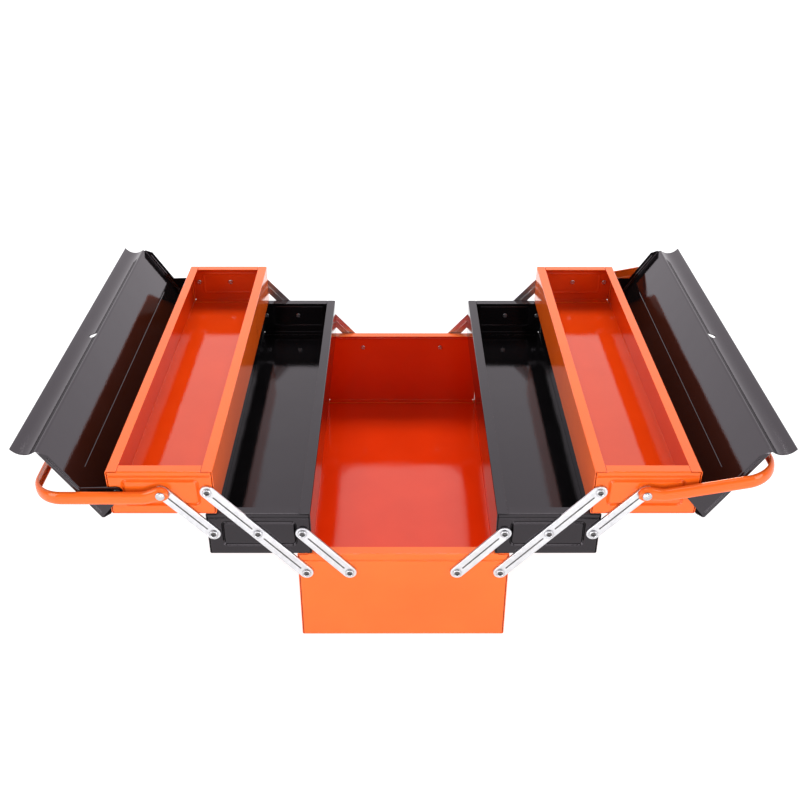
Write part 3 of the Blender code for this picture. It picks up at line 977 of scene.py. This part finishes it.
def add_handle(side, materials):
    """Channel swept along the U, with a round eye at each end."""
    node = f"{side}_handle"
    shape = bmesh.new()
    rings = []
    least_half = HANDLE_SHEET + HANDLE_INNER_ROUND + HANDLE_LEAST_FLAT
    for point, inward, half_width in handle_stations():
        section = handle_section(max(half_width, least_half))
        places = [point + inward * deep + Vector((0, 0, high)) for deep, high in section]
        rings.append(closed_loop(shape, places))
    for ring, next_ring in zip(rings, rings[1:]):
        join_loops(shape, ring, next_ring)
    shape.faces.new(rings[0])
    shape.faces.new(rings[-1])
    bmesh.ops.recalc_face_normals(shape, faces=shape.faces)
    mesh = finish_mesh(shape, node)
    mesh.set_sharp_from_angle(angle=math.radians(50))
    piece = add_piece(node + "_formed", mesh, materials)
    eye_y = HALF_LENGTH + HANDLE_STANDOFF + HANDLE_DEPTH
    along = Vector((0, 1, 0))
    cut_holes(piece, [(Vector((0, end * eye_y, 0)), along, HOLE_RADIUS) for end in (-1, 1)])
    pivot = joint_place[f"{side}_handle_raise"]
    turn = Matrix.Rotation(0 if side == "right" else math.pi, 4, "Z")
    raised = Matrix.Rotation(-HANDLE_RAISED[side], 4, "Y")
    settle(piece, Matrix.Translation((pivot.x, 0, pivot.z)) @ turn @ raised)
    stands_for(piece, node)


# ---- Stage

def add_floor():
    """Pale table, lit so evenly that it stays white right up to the object."""
    shape = bmesh.new()
    bmesh.ops.create_grid(shape, x_segments=1, y_segments=1, size=FLOOR_SIZE)
    floor = bpy.data.objects.new("studio_floor", finish_mesh(shape, "studio_floor"))
    floor.location.z = -FLOOR_DROP
    bpy.context.scene.collection.objects.link(floor)
    material, tree, shader = new_material("studio_floor")
    shader.inputs["Base Color"].default_value = (FLOOR_SHADE, FLOOR_SHADE, FLOOR_SHADE, 1)
    shader.inputs["Roughness"].default_value = 0.9
    shader.inputs["Specular IOR Level"].default_value = 0.1
    shader.inputs["Emission Color"].default_value = (1, 1, 1, 1)
    shader.inputs["Emission Strength"].default_value = FLOOR_GLOW
    floor.data.materials.append(material)


def add_softbox(name, place, size, watts, target):
    light = bpy.data.lights.new(name, "AREA")
    light.shape = "RECTANGLE"
    light.size, light.size_y = size
    light.energy = watts
    softbox = bpy.data.objects.new(name, light)
    softbox.location = place
    softbox.rotation_euler = (Vector(target) - Vector(place)).to_track_quat("-Z", "Y").to_euler()
    softbox.visible_camera = False
    bpy.context.scene.collection.objects.link(softbox)


def fade(tree, value, start, end, low, high):
    """Smooth change from low to high as a value goes from start to end."""
    step = tree.nodes.new("ShaderNodeMapRange")
    step.interpolation_type = "SMOOTHSTEP"
    step.inputs["From Min"].default_value = start
    step.inputs["From Max"].default_value = end
    step.inputs["To Min"].default_value = low
    step.inputs["To Max"].default_value = high
    tree.links.new(value, step.inputs["Value"])
    return step.outputs["Result"]


def add_world():
    """Pale surround: bright behind, dimmer in front, fading to a dim ceiling."""
    world = bpy.data.worlds.new("studio")
    world.use_nodes = True
    tree = world.node_tree
    place = tree.nodes.new("ShaderNodeTexCoord")
    axes = tree.nodes.new("ShaderNodeSeparateXYZ")
    tree.links.new(place.outputs["Generated"], axes.inputs["Vector"])
    walls = fade(tree, axes.outputs["Y"], *WALL_FADE, FRONT_LIGHT, REAR_LIGHT)
    ceiling = fade(tree, axes.outputs["Z"], *CEILING_FADE, 1, CEILING_SHARE)
    strength = tree.nodes.new("ShaderNodeMath")
    strength.operation = "MULTIPLY"
    tree.links.new(walls, strength.inputs[0])
    tree.links.new(ceiling, strength.inputs[1])
    tree.links.new(strength.outputs["Value"], tree.nodes["Background"].inputs["Strength"])
    tree.nodes["Background"].inputs["Color"].default_value = (*SURROUND_COLOUR, 1)
    bpy.context.scene.world = world


def add_studio():
    scene = bpy.context.scene
    scene.view_settings.view_transform = "Standard"
    add_world()
    add_floor()
    for softbox in SOFTBOXES:
        add_softbox(*softbox)
    camera = bpy.data.objects.new("camera", bpy.data.cameras.new("camera"))
    camera.data.lens = CAMERA_LENS
    turn = Matrix.Rotation(-CAMERA_YAW, 4, "Z")
    tilt = Matrix.Rotation(math.pi / 2 - CAMERA_PITCH, 4, "X")
    roll = Matrix.Rotation(CAMERA_ROLL, 4, "Z")
    camera.matrix_world = Matrix.Translation(CAMERA_PLACE) @ turn @ tilt @ roll
    scene.collection.objects.link(camera)
    scene.camera = camera


# ---- Assembly

def tray_pivots(names):
    """X and Z of the rivets that a panel carries, from their CAD nodes."""
    places = []
    for name in names:
        low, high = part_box(name)
        places.append(((low.x + high.x) / 2, (low.z + high.z) / 2))
    return places


def build():
    orange = [
        enamel("orange_enamel", *ORANGE_OUTSIDE),
        thin_enamel("orange_edge", *ORANGE_EDGE),
        # The third material is a deeper, redder copy of the enamel that paints the shade on the inner
        # faces.
        enamel("orange_inside_shade", *ORANGE_INSIDE_SHADE),
    ]
    # The trays' inner faces take their own painted-shade copy of the enamel.
    tray_orange = [*orange[:2], enamel("tray_inside_shade", *ORANGE_TRAY_INSIDE_SHADE)]
    black_edge = thin_enamel("black_edge", *BLACK_EDGE)
    tray_black = enamel("black_enamel", *BLACK_TRAY)
    black = [tray_black, black_edge, tray_black]
    lid_black = [enamel("lid_enamel", *BLACK_LID), black_edge]
    # Dark zinc for painted shade in the link grooves and the eyelet hollows.
    recess_shade = zinc("recess_shade_plate", *RECESS_SHADE_ZINC)
    link_zinc = [zinc("zinc_plate", *LINK_ZINC), recess_shade]
    rivet_zinc = zinc("rivet_plate", *RIVET_ZINC)

    add_shell("base_shell", orange)
    for end_name in ENDS:
        names = [f"{side}_{end_name}_rivet_{pivot}" for side in SIDES for pivot in ("p1", "p2")]
        add_end_panel(f"base_{end_name}_panel", end_name, tray_pivots(names), False, orange)

    levels = {
        "mid": (black, "black_paint", ("m0", "m1", "m2")),
        "upper": (tray_orange, "orange_paint", ("u0", "u1")),
    }
    for side in SIDES:
        for level, (materials, slot_name, pivots) in levels.items():
            tray = f"{side}_{level}_tray"
            add_shell(f"{tray}_shell", materials)
            for end_name in ENDS:
                places = tray_pivots([f"{side}_{end_name}_rivet_{pivot}" for pivot in pivots])
                if level == "upper":
                    hinge = joint_place[f"{side}_lid_shut"]
                    places.append((hinge.x, hinge.z))
                add_end_panel(f"{tray}_{end_name}_panel", end_name, places, True, materials)
        add_lid(side, lid_black)
        add_handle(side, orange[:2])

    link_meshes = {}

    def link_for(node, length):
        kind = "long" if "long" in node else "short"
        if kind not in link_meshes:
            pivots = [0, length / 2, length] if kind == "long" else [0, length]
            link_meshes[kind] = link_mesh(kind + "_link", pivots)
        return link_meshes[kind]

    link_seat = LINK_STANDOFF + LINK_THICKNESS + SEAM
    lid_seat = LID_STANDOFF + SHEET + SEAM
    handle_seat = HANDLE_STANDOFF + HANDLE_DEPTH + SEAM
    eyelet = eyelet_mesh("eyelet", link_seat)
    dome = dome_mesh("handle_dome", handle_seat, HEAD_RADIUS)
    lid_dome = dome_mesh("lid_dome", lid_seat, LID_HEAD_RADIUS)
    for mesh, second in ((eyelet, recess_shade), (dome, rivet_zinc), (lid_dome, black[0])):
        mesh.materials.append(rivet_zinc)
        mesh.materials.append(second)
    for side, sign in SIDES.items():
        for end_name, end in ENDS.items():
            for kind in ("long", "inner", "outer"):
                add_link(f"{side}_{end_name}_{kind}_link", end, sign, link_for, link_zinc)
            for pivot in ("p1", "p2", "m0", "m1", "m2", "u0", "u1"):
                node = f"{side}_{end_name}_rivet_{pivot}"
                low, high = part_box(node)
                mesh = dome if pivot == "u0" else eyelet
                stands_for(add_rivet(node + "_set", mesh, (low + high) / 2, end), node)
            pin = add_rivet(f"{side}_{end_name}_lid_rivet", lid_dome, joint_place[f"{side}_lid_shut"], end)
            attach(pin, f"{side}_upper_tray")


build()
add_studio()
